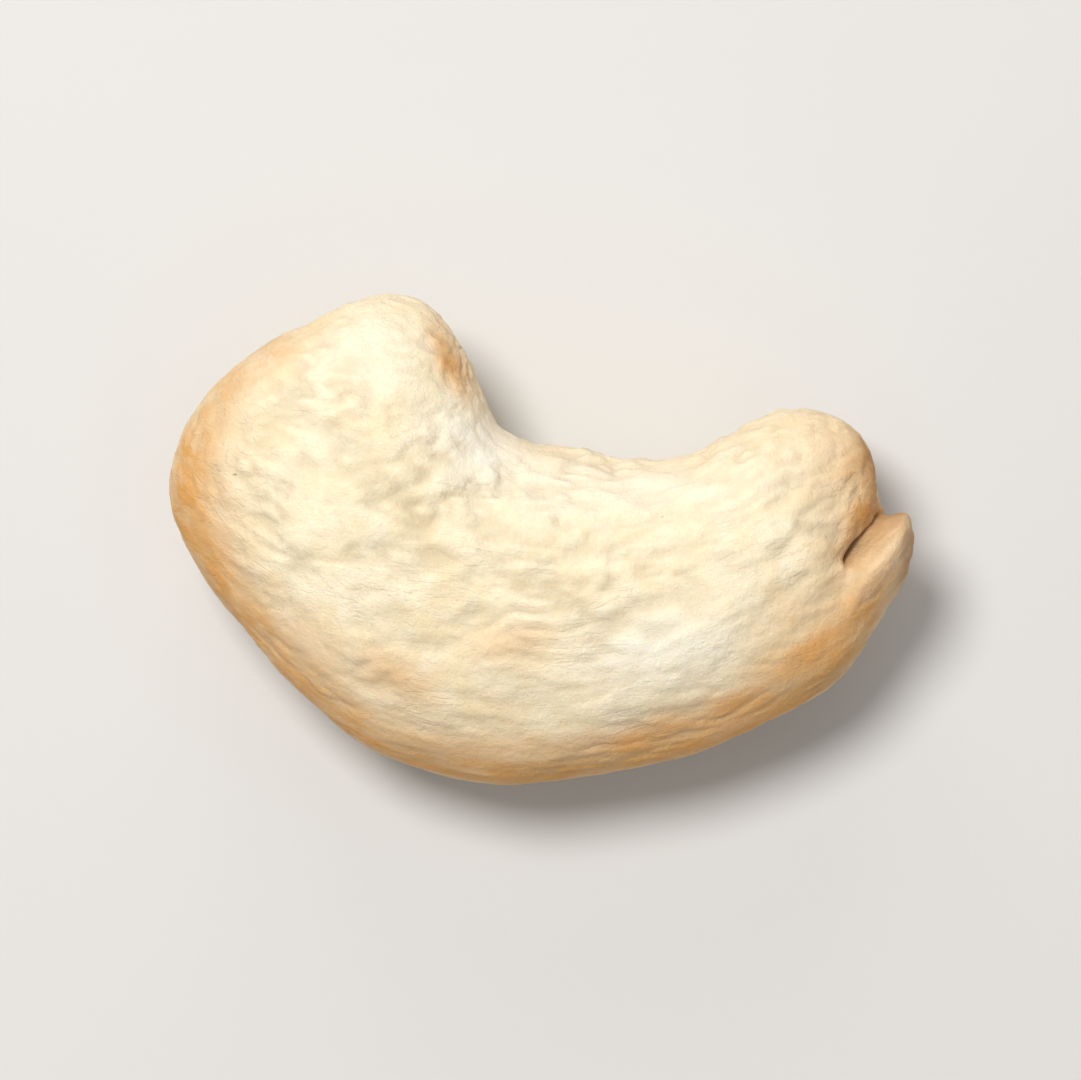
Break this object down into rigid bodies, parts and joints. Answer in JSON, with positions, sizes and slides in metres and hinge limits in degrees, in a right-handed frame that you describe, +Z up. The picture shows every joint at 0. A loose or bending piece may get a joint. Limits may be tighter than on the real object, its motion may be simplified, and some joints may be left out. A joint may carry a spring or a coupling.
{
  "type": "cashew nut",
  "caption": "Whole raw cashew kernel: a plump crescent with a seam round its rim and a split lip at one end, lying on a small flat spot.",
  "frame": {"origin": "on the resting surface, under the middle of the kernel's bounding box", "axes": "+X along the length towards the narrower split end, +Y out of the hollow side of the crescent, +Z up, through the thickness"},
  "size_m": [0.025, 0.0166, 0.0093],
  "materials": {
    "kernel": null
  },
  "bodies": {
    "root": {"cashew_kernel": "kernel"}
  },
  "joints": []
}
